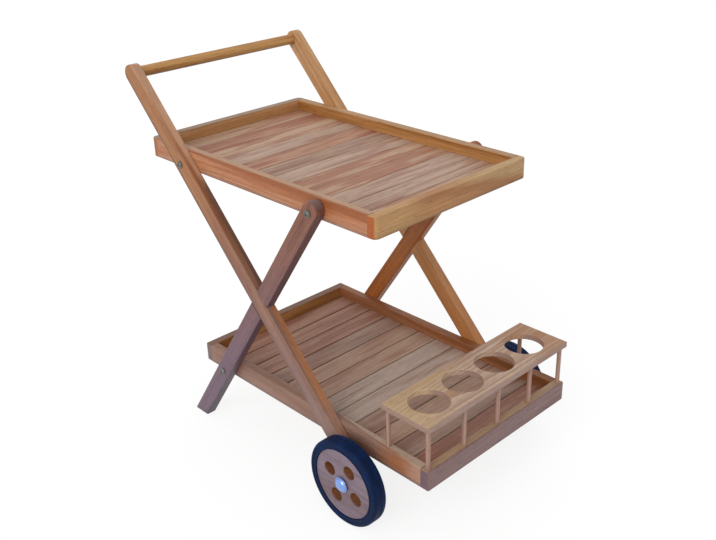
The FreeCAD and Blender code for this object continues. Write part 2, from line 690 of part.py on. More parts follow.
def hub_cap():
    """Domed cap over the end of an axle bolt."""
    blank = doc.addObject("Part::Common", "hub_cap_blank")
    blank.Base = cylinder("hub_cap_rim", "hub_cap_diameter / 2", "cap_height", "axle_x", "-cap_y", "axle_z",
                          TO_OUTSIDE)
    dome = doc.addObject("Part::Sphere", "hub_cap_dome")
    bind(dome, {"Radius": "dome_radius"})
    place(dome, "axle_x", "dome_radius - cap_y - cap_height", "axle_z")
    blank.Tool = dome
    bore = cylinder("hub_cap_bore", "axle_diameter / 2 + fit_clearance", "axle_grip + 2 * hole_relief",
                    "axle_x", "hole_relief - cap_y", "axle_z", TO_OUTSIDE)
    register_pair("hub_cap", cut("hub_cap", blank, [bore]))


def axle_bolt():
    """Hexagon bolt through the foot of a long leg, with its head inside the leg, for a wheel to turn on."""
    head = doc.addObject("Part::Prism", "axle_head")
    head.Polygon = HEXAGON_SIDES
    bind(head, {"Circumradius": "axle_head_diameter / 2", "Height": "axle_head_height"})
    place(head, "axle_x", "-side_y", "axle_z", TO_INSIDE)
    bolt = doc.addObject("Part::Fuse", "axle_bolt")
    bolt.Base = cylinder("axle_shank", "axle_diameter / 2", "axle_length", "axle_x", "-side_y", "axle_z",
                         TO_OUTSIDE)
    bolt.Tool = head
    return bolt


def wheels():
    """Tyre, disc, bush and cap of each wheel, the washers beside it and the bolt that it turns on."""
    tyre()
    wheel_disc()
    hub_cap()
    register_pair("wheel_bush", ring("wheel_bush", "bush_radius", "bush_bore_radius", "wheel_width",
                                     "axle_x", "-hub_inner_y", "axle_z", TO_OUTSIDE))
    washers = []
    for side, y in (("inner", "-outside_y"), ("outer", "-outer_washer_y")):
        washers.append(ring(side + "_washer", "axle_diameter / 2 + wheel_washer_rim",
                            "axle_diameter / 2 + fit_clearance", side + "_washer_thickness",
                            "axle_x", y, "axle_z", TO_OUTSIDE))
    register_both_sides("wheel_washers", washers)
    register_both_sides("axle_bolts", [axle_bolt()])


# Bolts of the legs

def leg_bolt(name, x, z, seat):
    """Bolt with a low conical head and a hexagon socket."""
    under_head = f"-{seat} - bolt_washer_thickness"
    shank_length = f"{seat} + bolt_washer_thickness - bolt_tip_y"
    head = doc.addObject("Part::Cone", name + "_head")
    bind(head, {"Radius1": "bolt_head_diameter / 2", "Radius2": "bolt_crown_diameter / 2",
                "Height": "bolt_head_height"})
    place(head, x, under_head, z, TO_OUTSIDE)
    solid = doc.addObject("Part::Fuse", name + "_solid")
    solid.Base = cylinder(name + "_shank", "bolt_diameter / 2", shank_length, x, under_head, z, TO_INSIDE)
    solid.Tool = head
    socket = doc.addObject("Part::Prism", name + "_socket")
    socket.Polygon = HEXAGON_SIDES
    bind(socket, {"Circumradius": "socket_diameter / 2", "Height": "socket_depth + hole_relief"})
    place(socket, x, f"{under_head} - bolt_head_height + socket_depth", z, TO_OUTSIDE)
    return cut(name + "_bolt", solid, [socket])


def leg_fasteners():
    """Bolt, washer and insert nut at each crossing of a leg and a rail."""
    bolts = []
    washers = []
    inserts = []
    for name, (x, z, seat) in BOLTS.items():
        bolts.append(leg_bolt(name, x, z, seat))
        washers.append(ring(name + "_washer", "bolt_washer_diameter / 2",
                            "bolt_diameter / 2 + bolt_hole_clearance", "bolt_washer_thickness",
                            x, f"-{seat}", z, TO_OUTSIDE))
        inserts.append(ring(name + "_insert", "insert_radius", "bolt_diameter / 2 + fit_clearance",
                            "insert_length", x, "-side_y", z, TO_INSIDE))
    register_both_sides("leg_bolts", bolts)
    register_both_sides("leg_washers", washers)
    register_both_sides("insert_nuts", inserts)


def check_and_write():
    """Stop on any failed object, empty cut or bad shape, then write one file per sub-part."""
    doc.recompute()
    for item in doc.Objects:
        if "Invalid" in item.State or "Error" in item.State:
            raise RuntimeError(f"{item.Label} failed: {item.State}")
        if item.TypeId == "Part::Cut" and item.Shape.Volume > item.Base.Shape.Volume - TOLERANCE:
            raise RuntimeError(f"{item.Label} takes nothing away")
    for label, item in nodes.items():
        if item.Label != label or item.Shape.isNull() or not item.Shape.isValid():
            raise RuntimeError(f"{label} has no sound shape")
    os.makedirs("parts", exist_ok=True)
    for label, item in nodes.items():
        item.Shape.exportStep(os.path.join("parts", label + ".step"))


fill_sheet()
legs()
handle()
front_bores = [spindle_bore(x, y) for x, y in FRONT_SPINDLES]
rear_bores = [spindle_bore(x, y) for x, y in REAR_SPINDLES]
tray("upper", [], [])
tray("lower", rear_bores[:1], front_bores)
corner_dowels()
bottle_rack(front_bores + rear_bores)
wheels()
leg_fasteners()
check_and_write()
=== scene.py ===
"""Looks of a wooden serving trolley: oiled boards, rubber tyres and plated hardware, in a white studio."""
from __future__ import annotations

import logging
import math
from collections.abc import Callable
from dataclasses import dataclass, replace
from enum import Enum

import bmesh
import bpy
from mathutils import Euler, Matrix, Vector

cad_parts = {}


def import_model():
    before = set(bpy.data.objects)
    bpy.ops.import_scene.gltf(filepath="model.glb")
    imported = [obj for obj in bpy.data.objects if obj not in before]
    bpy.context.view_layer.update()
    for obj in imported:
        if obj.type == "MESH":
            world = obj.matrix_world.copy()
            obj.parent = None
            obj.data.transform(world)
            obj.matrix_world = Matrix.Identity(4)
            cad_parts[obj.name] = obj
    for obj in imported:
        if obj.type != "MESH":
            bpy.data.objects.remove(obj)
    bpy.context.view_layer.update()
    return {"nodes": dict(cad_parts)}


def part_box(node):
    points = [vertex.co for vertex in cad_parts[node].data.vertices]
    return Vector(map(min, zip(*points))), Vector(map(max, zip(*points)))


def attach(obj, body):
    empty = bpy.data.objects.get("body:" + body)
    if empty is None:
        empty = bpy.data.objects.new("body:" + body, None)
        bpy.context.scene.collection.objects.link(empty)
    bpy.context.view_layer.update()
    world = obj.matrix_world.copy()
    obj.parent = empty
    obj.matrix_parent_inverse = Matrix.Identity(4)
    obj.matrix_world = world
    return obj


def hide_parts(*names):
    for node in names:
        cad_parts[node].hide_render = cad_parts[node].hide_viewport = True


Tree = bpy.types.NodeTree
Socket = bpy.types.NodeSocket

LOG = logging.getLogger("trolley")
MM = 0.001
PHOTO_WIDTH = 716
WHITE = "#ffffff"
SMOOTHING_DEG = 35.0

# Steps from board to board, one for each thing that differs between them
DEPTH_STEP, SIDE_STEP, TILT_STEP, TURN_STEP = 0.618034, 0.53, 0.37, 0.71

# Colour sockets of a Mix node, by number because the node has several sockets of each name
SHARE, UNDER, OVER, MIXED = 0, 6, 7, 2

# Angle, in radians, that a wave texture of scale 1 runs through over one unit
WAVE_ANGLE = 20.0


class Side(Enum):
    """Sides of the trolley, with the direction of Y that points outwards."""

    LEFT = 1
    RIGHT = -1

    @property
    def word(self) -> str:
        """Ending of the node names on this side."""
        return self.name.lower()


class Level(Enum):
    """The two trays."""

    UPPER = "upper"
    LOWER = "lower"


class Grain(Enum):
    """Way that a board's fibres run: turn about Z and rise from the floor, in degrees."""

    LENGTHWISE = (0.0, 0.0)
    CROSSWISE = (90.0, 0.0)
    UPRIGHT = (0.0, 90.0)
    LONG_LEG = (0.0, 133.3)
    SHORT_LEG = (0.0, 55.55)


class MeshPart(Enum):
    """Parts of a mesh that are selected in edit mode."""

    FACES = "FACE"
    EDGES = "EDGE"


# Helpers for colours, nodes and selections

def linear(colour: str) -> tuple[float, float, float, float]:
    """Turn an sRGB hex colour into linear RGBA.

    Args:
        colour: hex value such as "#b08060".

    Returns:
        The colour as Blender's shaders take it.
    """
    channels = [int(colour[start:start + 2], 16) / 255 for start in (1, 3, 5)]
    red, green, blue = (c / 12.92 if c <= 0.04045 else ((c + 0.055) / 1.055) ** 2.4 for c in channels)
    return red, green, blue, 1.0


def spread(number: int, step: float) -> float:
    """Value from -1 to 1 that looks random over a row of numbers and is the same in each run."""
    return 2 * ((number * step) % 1) - 1


def add_node(tree: Tree, kind: str, inputs: dict | None = None, **settings) -> bpy.types.Node:
    """Add a node, set it up and link it.

    Args:
        tree: node tree of a material or of the world.
        kind: Blender's name of the node type.
        inputs: value or output socket for each input, by name or number.
        settings: properties of the node.

    Returns:
        The new node.
    """
    node = tree.nodes.new(kind)
    for name, value in settings.items():
        setattr(node, name, value)
    for key, value in (inputs or {}).items():
        if isinstance(value, Socket):
            tree.links.new(value, node.inputs[key])
        else:
            node.inputs[key].default_value = value
    return node


def new_material(name: str) -> tuple[bpy.types.Material, Tree]:
    """Make a material with an empty node tree.

    Args:
        name: name of the material.

    Returns:
        The material and its tree.
    """
    material = bpy.data.materials.new(name)
    material.use_nodes = True
    material.node_tree.nodes.clear()
    return material, material.node_tree


def dress(piece: bpy.types.Object, material: bpy.types.Material) -> None:
    """Give a piece one material all over.

    Args:
        piece: CAD node or new piece.
        material: finish for all of it.
    """
    if not piece.material_slots:
        piece.data.materials.append(material)
    for slot in piece.material_slots:
        slot.material = material
    LOG.info("dressed %s in %s", piece.name, material.name)


def select(piece: bpy.types.Object, part: MeshPart, wanted: Callable) -> None:
    """Select faces or edges of the mesh in edit mode, and nothing else.

    Args:
        piece: object in edit mode.
        part: what to select.
        wanted: test on a bmesh face or edge.
    """
    bpy.ops.mesh.select_mode(type=part.value)
    bpy.ops.mesh.select_all(action="DESELECT")
    mesh = bmesh.from_edit_mesh(piece.data)
    for item in mesh.faces if part is MeshPart.FACES else mesh.edges:
        if wanted(item):
            item.select_set(True)
    bmesh.update_edit_mesh(piece.data)


def finish_piece(piece: bpy.types.Object, body: str, node: str,
                 material: bpy.types.Material) -> None:
    """Smooth a new piece, dress it and put it in the place of its CAD node.

    Args:
        piece: object in edit mode, with its place in its mesh.
        body: CAD body that it rides on.
        node: CAD node that it stands for.
        material: finish of the piece.
    """
    bpy.ops.mesh.select_all(action="SELECT")
    bpy.ops.mesh.normals_make_consistent(inside=False)
    bpy.ops.object.mode_set(mode="OBJECT")
    bpy.ops.object.shade_smooth_by_angle(angle=math.radians(SMOOTHING_DEG))
    dress(piece, material)
    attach(piece, body)
    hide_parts(node)
    LOG.info("modelled %s in place of %s", piece.name, node)


# Finishes

@dataclass(frozen=True)
class Zone:
    """Sapwood, a band of darker heartwood, or a band of painted shade or painted highlight, on one side of a
    wavy plane through a board.

    It lies past start_mm, counted from the origin in the direction towards: downward from -600 is below a
    height of 600. If it has heights, it fades out beyond them.
    """

    colour: str
    towards: tuple[float, float, float]
    start_mm: float
    blend_mm: float = 10.0
    wave_mm: float = 20.0
    share: float = 0.85
    heights_mm: tuple[float, float] | None = None
    fade_mm: float = 18.0

    def paint(self, tree: Tree, place: Socket, waves: Socket, colour: Socket) -> Socket:
        """Paint the zone over the colour of a board.

        Args:
            tree: node tree of the board's wood.
            place: place on the trolley.
            waves: noise that makes the border wavy.
            colour: colour of the board so far.

        Returns:
            The colour with the zone on it.
        """
        depth = add_node(tree, "ShaderNodeVectorMath", {0: place, 1: Vector(self.towards) / MM},
                         operation="DOT_PRODUCT").outputs["Value"]
        wavy = add_node(tree, "ShaderNodeMath", {0: waves, 1: self.wave_mm, 2: depth},
                        operation="MULTIPLY_ADD").outputs[0]
        border = self.start_mm + self.wave_mm / 2
        inside = add_node(tree, "ShaderNodeMapRange", {
            "Value": wavy, "From Min": border - self.blend_mm, "From Max": border + self.blend_mm,
            "To Max": self.share,
        }, interpolation_type="SMOOTHSTEP").outputs[0]
        if self.heights_mm:
            inside = self.fade(tree, place, inside)
        return add_node(tree, "ShaderNodeMix", {SHARE: inside, UNDER: colour, OVER: linear(self.colour)},
                        data_type="RGBA").outputs[MIXED]

    def fade(self, tree: Tree, place: Socket, inside: Socket) -> Socket:
        """Fade the zone out below and above its heights.

        Args:
            tree: node tree of the board's wood.
            place: place on the trolley.
            inside: share of the zone's colour.

        Returns:
            The share with the fading.
        """
        bottom, top = (height * MM for height in self.heights_mm)
        half = (top - bottom) / 2
        height = add_node(tree, "ShaderNodeSeparateXYZ", {0: place}).outputs["Z"]
        away = add_node(tree, "ShaderNodeMath", {0: height, 1: (bottom + top) / 2}, operation="SUBTRACT")
        away = add_node(tree, "ShaderNodeMath", {0: away.outputs[0]}, operation="ABSOLUTE")
        return add_node(tree, "ShaderNodeMapRange", {
            "Value": away.outputs[0], "From Min": half + self.fade_mm * MM,
            "From Max": half - self.fade_mm * MM, "To Max": inside,
        }, interpolation_type="SMOOTHSTEP").outputs[0]


@dataclass(frozen=True)
class Wood:
    """Oiled eucalyptus, planed and sanded.

    The eye sees soft growth rings, long streaks of darker heartwood, fine fibres, short open pores and darker
    end grain, under a dull satin oil that is duller in the pores. Towards the floor it blends into a second
    colour, which stands for weathering to grey and also for painted shade and bounce light.
    """

    name: str
    early: str
    late: str
    heart: str
    end: str
    # Second colour towards the floor: weathering to grey, and on the legs and lower rails also painted bluish
    # shade and warm bounce light
    weathered_and_shaded: str = "#8f7b78"
    weathering_and_shade: float = 0.0
    weather_and_shade_from_mm: float = 720.0
    weather_and_shade_full_mm: float = 100.0
    board_tilt_deg: float = 1.2
    board_spacing_mm: float = 900.0
    pith_depth_mm: float = 46.0
    pith_depth_change_mm: float = 18.0
    pith_side_change_mm: float = 26.0
    ring_mm: float = 9.0
    ring_taper: float = 0.05
    ring_wobble: float = 5.0
    ring_relief: float = 0.35
    heart_level: float = 0.52
    heart_edge: float = 0.13
    heart_length_mm: float = 420.0
    heart_width_mm: float = 24.0
    fibre_length_mm: float = 170.0
    fibre_width_mm: float = 3.2
    fibre_levels: tuple[float, float] = (0.28, 0.72)
    fibre_shades: tuple[float, float] = (0.80, 1.16)
    pore_length_mm: float = 26.0
    pore_width_mm: float = 1.5
    pore_levels: tuple[float, float] = (0.58, 0.74)
    pore_share: float = 0.5
    end_facing: tuple[float, float] = (0.62, 0.95)
    roughness: float = 0.52
    pore_dullness: float = 0.1
    ridge_gloss: float = 0.08
    relief_levels: tuple[float, float] = (0.1, 1.0)
    relief_strength: float = 0.35
    relief_mm: float = 0.4
    ior: float = 1.48
    zones: tuple[Zone, ...] = ()

    def material(self, node: str, grain: Grain, number: int) -> bpy.types.Material:
        """Make the wood of one board, cut from its own place in the log.

        Args:
            node: CAD node of the board.
            grain: way that the fibres run.
            number: picks the place in the log, so that no two boards match.

        Returns:
            The material, whose pattern follows the board's own grain.
        """
        turn, pith = self.place_in_log(node, grain, number)
        material, tree = new_material(f"{self.name}.{node}")
        where = add_node(tree, "ShaderNodeTexCoord")
        place = where.outputs["Object"]
        board = add_node(tree, "ShaderNodeMapping", {
            "Vector": place, "Location": pith, "Rotation": turn, "Scale": (MM, MM, MM),
        }, vector_type="TEXTURE").outputs[0]
        rings = self.rings(tree, board)
        streaks = self.along_fibres(tree, board, self.heart_length_mm, self.heart_width_mm, {
            "Detail": 3.0, "Roughness": 0.55, "Distortion": 0.3})
        # Fibres and pores, drawn coarser than the real 0.2 mm so that they show
        fibres = self.along_fibres(tree, board, self.fibre_length_mm, self.fibre_width_mm, {
            "Detail": 4.0, "Roughness": 0.62})
        pores = self.pores(tree, board)

        colour = self.heartwood(tree, rings, streaks)
        # Weathering towards the floor, which also carries painted shade and bounce light
        if self.weathering_and_shade:
            colour = self.weather_and_shade(tree, place, colour)
        for zone in self.zones:
            colour = zone.paint(tree, place, streaks, colour)
        colour = self.end_grain(tree, where.outputs["Normal"], turn, colour)
        colour = self.fine_grain(tree, fibres, pores, colour)
        self.oil(tree, colour, rings, fibres, pores)
        return material

    def place_in_log(self, node: str, grain: Grain, number: int) -> tuple[Euler, Vector]:
        """Choose where in the log a board was cut.

        Args:
            node: CAD node of the board.
            grain: way that the fibres run.
            number: picks the place in the log.

        Returns:
            The turn of the fibres, and a point on the pith of the log.
        """
        low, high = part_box(node)
        heading, rise = (math.radians(angle) for angle in grain.value)
        tilt = math.radians(self.board_tilt_deg)
        turn = Euler((0.0, tilt * spread(number, TILT_STEP) - rise,
                      heading + tilt * spread(number, TURN_STEP)))
        along, across, upward = turn.to_matrix().col
        depth_mm = self.pith_depth_mm + self.pith_depth_change_mm * spread(number, DEPTH_STEP)
        pith_mm = (along * self.board_spacing_mm * number
                   + across * self.pith_side_change_mm * spread(number, SIDE_STEP)
                   - upward * depth_mm)
        return turn, (low + high) / 2 + pith_mm * MM

    def rings(self, tree: Tree, board: Socket) -> Socket:
        """Draw growth rings about the pith. Real ones are 2 to 5 mm apart, drawn wider so that they show.

        Args:
            tree: node tree of the wood.
            board: place in the log, in millimetres, with X along the fibres.

        Returns:
            Value from 0 in the early wood to 1 in the late wood.
        """
        place = add_node(tree, "ShaderNodeVectorMath", {0: board, 1: (self.ring_taper, 1, 1)},
                         operation="MULTIPLY").outputs[0]
        return add_node(tree, "ShaderNodeTexWave", {
            "Vector": place, "Scale": math.tau / WAVE_ANGLE / self.ring_mm, "Distortion": self.ring_wobble,
            "Detail": 2.0, "Detail Scale": 1.1,
        }, wave_type="RINGS", rings_direction="X", wave_profile="SAW").outputs["Fac"]

    @staticmethod
    def along_fibres(tree: Tree, board: Socket, length_mm: float, width_mm: float, noise: dict) -> Socket:
        """Draw a random pattern that is stretched along the fibres.

        Args:
            tree: node tree of the wood.
            board: place in the log, in millimetres, with X along the fibres.
            length_mm: length of the pattern's marks.
            width_mm: width of the pattern's marks.
            noise: how fine and rough the marks are.

        Returns:
            Value about 0.5.
        """
        place = add_node(tree, "ShaderNodeVectorMath", {
            0: board, 1: (1 / length_mm, 1 / width_mm, 1 / width_mm),
        }, operation="MULTIPLY").outputs[0]
        return add_node(tree, "ShaderNodeTexNoise", {"Vector": place, "Scale": 1.0, **noise}).outputs["Fac"]

    def pores(self, tree: Tree, board: Socket) -> Socket:
        """Draw the open pores.

        Args:
            tree: node tree of the wood.
            board: place in the log, in millimetres, with X along the fibres.

        Returns:
            Depth of the pores, which is 0 between them.
        """
        noise = self.along_fibres(tree, board, self.pore_length_mm, self.pore_width_mm, {"Detail": 1.0})
        edge, bottom = self.pore_levels
        return add_node(tree, "ShaderNodeMapRange", {
            "Value": noise, "From Min": edge, "From Max": bottom, "To Max": self.pore_share,
        }, interpolation_type="SMOOTHSTEP").outputs[0]

    def heartwood(self, tree: Tree, rings: Socket, streaks: Socket) -> Socket:
        """Colour the rings, with streaks of heartwood over them.

        Args:
            tree: node tree of the wood.
            rings: value from early to late wood.
            streaks: random pattern of the heartwood.

        Returns:
            The colour.
        """
        heart = add_node(tree, "ShaderNodeMapRange", {
            "Value": streaks, "From Min": self.heart_level - self.heart_edge,
            "From Max": self.heart_level + self.heart_edge,
        }, interpolation_type="SMOOTHSTEP").outputs[0]
        ringed = add_node(tree, "ShaderNodeMix", {
            SHARE: rings, UNDER: linear(self.early), OVER: linear(self.late),
        }, data_type="RGBA").outputs[MIXED]
        return add_node(tree, "ShaderNodeMix", {SHARE: heart, UNDER: ringed, OVER: linear(self.heart)},
                        data_type="RGBA").outputs[MIXED]

    def weather_and_shade(self, tree: Tree, place: Socket, colour: Socket) -> Socket:
        """Blend the wood towards its second colour near the floor: weathering, and painted shade and bounce
        light.

        Args:
            tree: node tree of the wood.
            place: place on the trolley.
            colour: colour of the sound wood.

        Returns:
            The colour with the weathering and the painted shade.
        """
        height = add_node(tree, "ShaderNodeSeparateXYZ", {0: place}).outputs["Z"]
        grey = add_node(tree, "ShaderNodeMapRange", {
            "Value": height, "From Min": self.weather_and_shade_from_mm * MM, "From Max": self.weather_and_shade_full_mm * MM,
            "To Max": self.weathering_and_shade,
        }, interpolation_type="SMOOTHSTEP").outputs[0]
        return add_node(tree, "ShaderNodeMix", {SHARE: grey, UNDER: colour, OVER: linear(self.weathered_and_shaded)},
                        data_type="RGBA").outputs[MIXED]

    def end_grain(self, tree: Tree, normal: Socket, turn: Euler, colour: Socket) -> Socket:
        """Colour the faces that cut across the fibres.

        Args:
            tree: node tree of the wood.
            normal: direction that the face looks in.
            turn: turn of the fibres.
            colour: colour along the fibres.

        Returns:
            The colour with the end grain.
        """
        along = turn.to_matrix().col[0]
        facing = add_node(tree, "ShaderNodeVectorMath", {0: normal, 1: along}, operation="DOT_PRODUCT")
        facing = add_node(tree, "ShaderNodeMath", {0: facing.outputs["Value"]}, operation="ABSOLUTE")
        slanting, square = self.end_facing
        cut = add_node(tree, "ShaderNodeMapRange", {
            "Value": facing.outputs[0], "From Min": slanting, "From Max": square,
        }, interpolation_type="SMOOTHSTEP").outputs[0]
        return add_node(tree, "ShaderNodeMix", {SHARE: cut, UNDER: colour, OVER: linear(self.end)},
                        data_type="RGBA").outputs[MIXED]

    def fine_grain(self, tree: Tree, fibres: Socket, pores: Socket, colour: Socket) -> Socket:
        """Shade the colour from fibre to fibre, and darken it in the pores.

        Args:
            tree: node tree of the wood.
            fibres: random pattern of the fibres.
            pores: depth of the pores.
            colour: colour of the plain wood.

        Returns:
            The colour with the fine grain.
        """
        low, high = self.fibre_levels
        dark, light = self.fibre_shades
        shade = add_node(tree, "ShaderNodeMapRange", {
            "Value": fibres, "From Min": low, "From Max": high, "To Min": dark, "To Max": light,
        }).outputs[0]
        shaded = add_node(tree, "ShaderNodeHueSaturation", {"Value": shade, "Color": colour}).outputs[0]
        return add_node(tree, "ShaderNodeMix", {SHARE: pores, UNDER: shaded, OVER: linear(self.late)},
                        data_type="RGBA", blend_type="MULTIPLY").outputs[MIXED]

    def oil(self, tree: Tree, colour: Socket, rings: Socket, fibres: Socket, pores: Socket) -> None:
        """Finish the surface: a little raised where the late wood is hard, and dull in the pores.

        Args:
            tree: node tree of the wood.
            colour: colour of the wood.
            rings: value from early to late wood.
            fibres: random pattern of the fibres.
            pores: depth of the pores.
        """
        relief = add_node(tree, "ShaderNodeMath", {0: rings, 1: self.ring_relief, 2: fibres},
                          operation="MULTIPLY_ADD").outputs[0]
        relief = add_node(tree, "ShaderNodeMath", {0: relief, 1: pores}, operation="SUBTRACT").outputs[0]
        bump = add_node(tree, "ShaderNodeBump", {
            "Height": relief, "Strength": self.relief_strength, "Distance": self.relief_mm * MM})
        low, high = self.relief_levels
        dullness = add_node(tree, "ShaderNodeMapRange", {
            "Value": relief, "From Min": low, "From Max": high,
            "To Min": self.roughness + self.pore_dullness, "To Max": self.roughness - self.ridge_gloss,
        }).outputs[0]
        surface = add_node(tree, "ShaderNodeBsdfPrincipled", {
            "Base Color": colour, "Roughness": dullness, "Normal": bump.outputs[0], "IOR": self.ior,
        })
        add_node(tree, "ShaderNodeOutputMaterial", {"Surface": surface.outputs[0]})


@dataclass(frozen=True)
class Rubber:
    """Moulded solid rubber: near black with a blue cast, satin, with a faint dusty bloom and fine grit."""

    name: str = "moulded_rubber"
    colour: str = "#071a3b"
    bloom: str = "#0a2757"
    bloom_mm: float = 28.0
    bloom_levels: tuple[float, float] = (0.42, 0.75)
    bloom_share: float = 0.8
    roughness: float = 0.55
    clean_gloss: float = 0.12
    dusty_dullness: float = 0.15
    shine: float = 0.09
    ior: float = 1.52
    grit_mm: float = 1.2
    relief_strength: float = 0.2
    relief_mm: float = 0.2

    def material(self) -> bpy.types.Material:
        """Make the rubber.

        Returns:
            The material.
        """
        material, tree = new_material(self.name)
        place = add_node(tree, "ShaderNodeTexCoord").outputs["Object"]
        dust = add_node(tree, "ShaderNodeTexNoise", {
            "Vector": place, "Scale": 1 / (self.bloom_mm * MM), "Detail": 4.0, "Roughness": 0.6,
        }).outputs["Fac"]
        # Grit of the mould, drawn coarser than the real 0.2 mm so that it shows
        grit = add_node(tree, "ShaderNodeTexNoise", {
            "Vector": place, "Scale": 1 / (self.grit_mm * MM),
        }).outputs["Fac"]
        clean, dusty = self.bloom_levels
        cover = add_node(tree, "ShaderNodeMapRange", {
            "Value": dust, "From Min": clean, "From Max": dusty, "To Max": self.bloom_share,
        }, interpolation_type="SMOOTHSTEP").outputs[0]
        colour = add_node(tree, "ShaderNodeMix", {
            SHARE: cover, UNDER: linear(self.colour), OVER: linear(self.bloom),
        }, data_type="RGBA").outputs[MIXED]
        dullness = add_node(tree, "ShaderNodeMapRange", {
            "Value": dust, "To Min": self.roughness - self.clean_gloss,
            "To Max": self.roughness + self.dusty_dullness,
        }).outputs[0]
        bump = add_node(tree, "ShaderNodeBump", {
            "Height": grit, "Strength": self.relief_strength, "Distance": self.relief_mm * MM})
        surface = add_node(tree, "ShaderNodeBsdfPrincipled", {
            "Base Color": colour, "Roughness": dullness, "Normal": bump.outputs[0], "IOR": self.ior,
            "Specular IOR Level": self.shine,
        })
        add_node(tree, "ShaderNodeOutputMaterial", {"Surface": surface.outputs[0]})
        return material


@dataclass(frozen=True)
class Metal:
    """Plated or turned metal: bright, with a faint cloudiness in its colour and its gloss."""

    name: str
    colour: str
    cloud: str
    roughness: float
    cloud_mm: float = 9.0
    cloud_levels: tuple[float, float] = (0.3, 0.7)
    clear_gloss: float = 0.75
    cloud_dullness: float = 1.3

    def material(self) -> bpy.types.Material:
        """Make the metal.

        Returns:
            The material.
        """
        material, tree = new_material(self.name)
        place = add_node(tree, "ShaderNodeTexCoord").outputs["Object"]
        clouds = add_node(tree, "ShaderNodeTexNoise", {
            "Vector": place, "Scale": 1 / (self.cloud_mm * MM), "Detail": 5.0, "Roughness": 0.65,
        }).outputs["Fac"]
        colour = add_node(tree, "ShaderNodeMix", {
            SHARE: clouds, UNDER: linear(self.colour), OVER: linear(self.cloud),
        }, data_type="RGBA").outputs[MIXED]
        clear, cloudy = self.cloud_levels
        dullness = add_node(tree, "ShaderNodeMapRange", {
            "Value": clouds, "From Min": clear, "From Max": cloudy,
            "To Min": self.roughness * self.clear_gloss, "To Max": self.roughness * self.cloud_dullness,
        }).outputs[0]
        surface = add_node(tree, "ShaderNodeBsdfPrincipled", {
            "Base Color": colour, "Roughness": dullness, "Metallic": 1.0,
        })
        add_node(tree, "ShaderNodeOutputMaterial", {"Surface": surface.outputs[0]})
        return material


@dataclass(frozen=True)
class Nylon:
    """Moulded natural nylon: off-white and waxy, with a faint cloudiness from the mould."""

    name: str = "moulded_nylon"
    colour: str = "#dcd8cb"
    cloud: str = "#c9c3b2"
    cloud_mm: float = 6.0
    roughness: float = 0.42
    ior: float = 1.53

    def material(self) -> bpy.types.Material:
        """Make the nylon.

        Returns:
            The material.
        """
        material, tree = new_material(self.name)
        place = add_node(tree, "ShaderNodeTexCoord").outputs["Object"]
        clouds = add_node(tree, "ShaderNodeTexNoise", {
            "Vector": place, "Scale": 1 / (self.cloud_mm * MM), "Detail": 3.0,
        }).outputs["Fac"]
        colour = add_node(tree, "ShaderNodeMix", {
            SHARE: clouds, UNDER: linear(self.colour), OVER: linear(self.cloud),
        }, data_type="RGBA").outputs[MIXED]
        surface = add_node(tree, "ShaderNodeBsdfPrincipled", {
            "Base Color": colour, "Roughness": self.roughness, "IOR": self.ior,
        })
        add_node(tree, "ShaderNodeOutputMaterial", {"Surface": surface.outputs[0]})
        return material


# Directions of zones
FORWARD = (1.0, 0.0, 0.0)
LEFTWARD = (0.0, 1.0, 0.0)
RIGHTWARD = (0.0, -1.0, 0.0)
UPWARD = (0.0, 0.0, 1.0)
DOWNWARD = (0.0, 0.0, -1.0)

# Rails: sapwood and heartwood patches, top faces painted lighter as highlight where lit and darker as shade
# where shaded, and lower edges painted darker as shade
WARM_RAIL = Wood(
    "warm_eucalyptus", early="#c8926e", late="#ba815e", heart="#a8663e", end="#a85824",
    zones=(
        Zone("#ad6840", FORWARD, start_mm=200.0, blend_mm=90.0, wave_mm=40.0, share=0.4),
        Zone("#985529", (0.021, 0.0, 1.0), start_mm=708.3, blend_mm=3.0, wave_mm=4.0, share=0.92),
        # Painted highlight on the top face
        Zone("#b89274", (0.0, 0.707, 0.707), start_mm=345.8, blend_mm=1.5, wave_mm=2.0, share=0.9),
        # Painted shade along the lower edge
        Zone("#8d6f62", DOWNWARD, start_mm=-677.5, blend_mm=5.0, wave_mm=3.0, share=0.75),
    ))
OLIVE_RAIL = Wood(
    "olive_eucalyptus", early="#b98653", late="#ab7646", heart="#9c6739", end="#a85824",
    zones=(
        Zone("#bd925e", RIGHTWARD, start_mm=120.0, blend_mm=50.0, wave_mm=40.0),
        # Painted highlight on the top face
        Zone("#b89566", (0.0, 0.15, 0.99), start_mm=712.0, blend_mm=10.0, wave_mm=12.0),
        # Painted shade along the lower edge
        Zone("#866748", DOWNWARD, start_mm=-676.5, blend_mm=5.0, wave_mm=3.0, share=0.6),
    ))
BROWN_RAIL = Wood(
    "brown_eucalyptus", early="#b5824d", late="#a5703b", heart="#935d24", end="#a0653a",
    # Painted highlight on the top face
    zones=(Zone("#b7946c", UPWARD, start_mm=716.5, blend_mm=1.0, wave_mm=0.0, share=0.55),))
# Lighter copy of the rail wood: painted light on its shaded inner face, with the top face painted back darker
REAR_RAIL = Wood(
    "light_brown_eucalyptus", early="#d8a878", late="#c69566", heart="#b48251", end="#a0653a",
    zones=(Zone("#8f7763", UPWARD, start_mm=716.5, blend_mm=1.0, wave_mm=0.0, share=0.85),))
LOW_REAR_RAIL = replace(
    BROWN_RAIL, name="dull_brown_eucalyptus", early="#bc8a56", late="#ac7844", end="#77625e",
    # Top face painted darker as shade under the upper tray
    zones=(Zone("#6f5549", UPWARD, start_mm=199.5, blend_mm=1.0, wave_mm=0.0, share=0.75),))
SHADED_RAIL = Wood("dark_eucalyptus", early="#9d6642", late="#905936", heart="#804b22", end="#80502c")

